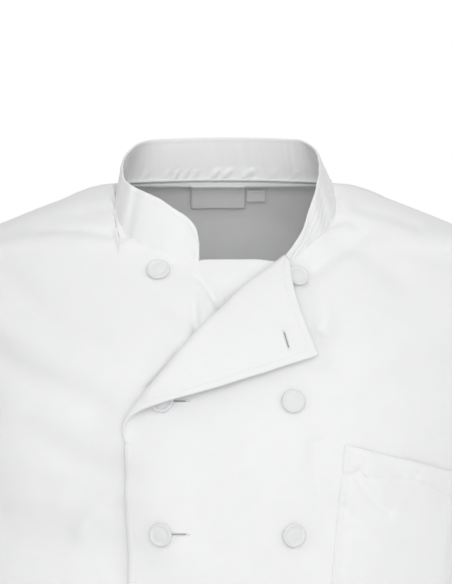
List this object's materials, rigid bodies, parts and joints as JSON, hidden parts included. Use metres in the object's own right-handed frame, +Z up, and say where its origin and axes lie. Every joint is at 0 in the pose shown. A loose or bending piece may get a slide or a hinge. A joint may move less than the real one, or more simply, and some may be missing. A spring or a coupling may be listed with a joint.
{
  "type": "chef jacket",
  "caption": "Double-breasted long-sleeved chef jacket with a stand collar, a chest pocket and cloth-covered buttons, its unbuttoned top corner turned back.",
  "frame": {"origin": "middle of the neck opening, level with the tops of the shoulder seams", "axes": "+Z up, the front faces -Y, +X towards the wearer's left"},
  "size_m": [0.836, 0.306, 0.788],
  "materials": {
    "cloth": "white twill weave",
    "button_cloth": "white covered button",
    "tape": "white binding tape",
    "label": "plain woven label"
  },
  "bodies": {
    "root": {"front_left": "cloth", "front_right": "cloth", "back": "cloth", "sleeve_left": "cloth", "sleeve_right": "cloth", "collar": "cloth", "facing_left": "cloth", "chest_pocket": "cloth", "neck_tape": "tape", "main_label": "label", "size_label": "label", "button_left_1": "button_cloth", "button_left_2": "button_cloth", "button_left_3": "button_cloth", "button_left_4": "button_cloth", "button_left_5": "button_cloth", "button_right_1": "button_cloth", "button_right_2": "button_cloth", "button_right_3": "button_cloth", "button_right_4": "button_cloth", "button_right_5": "button_cloth"}
  },
  "joints": []
}
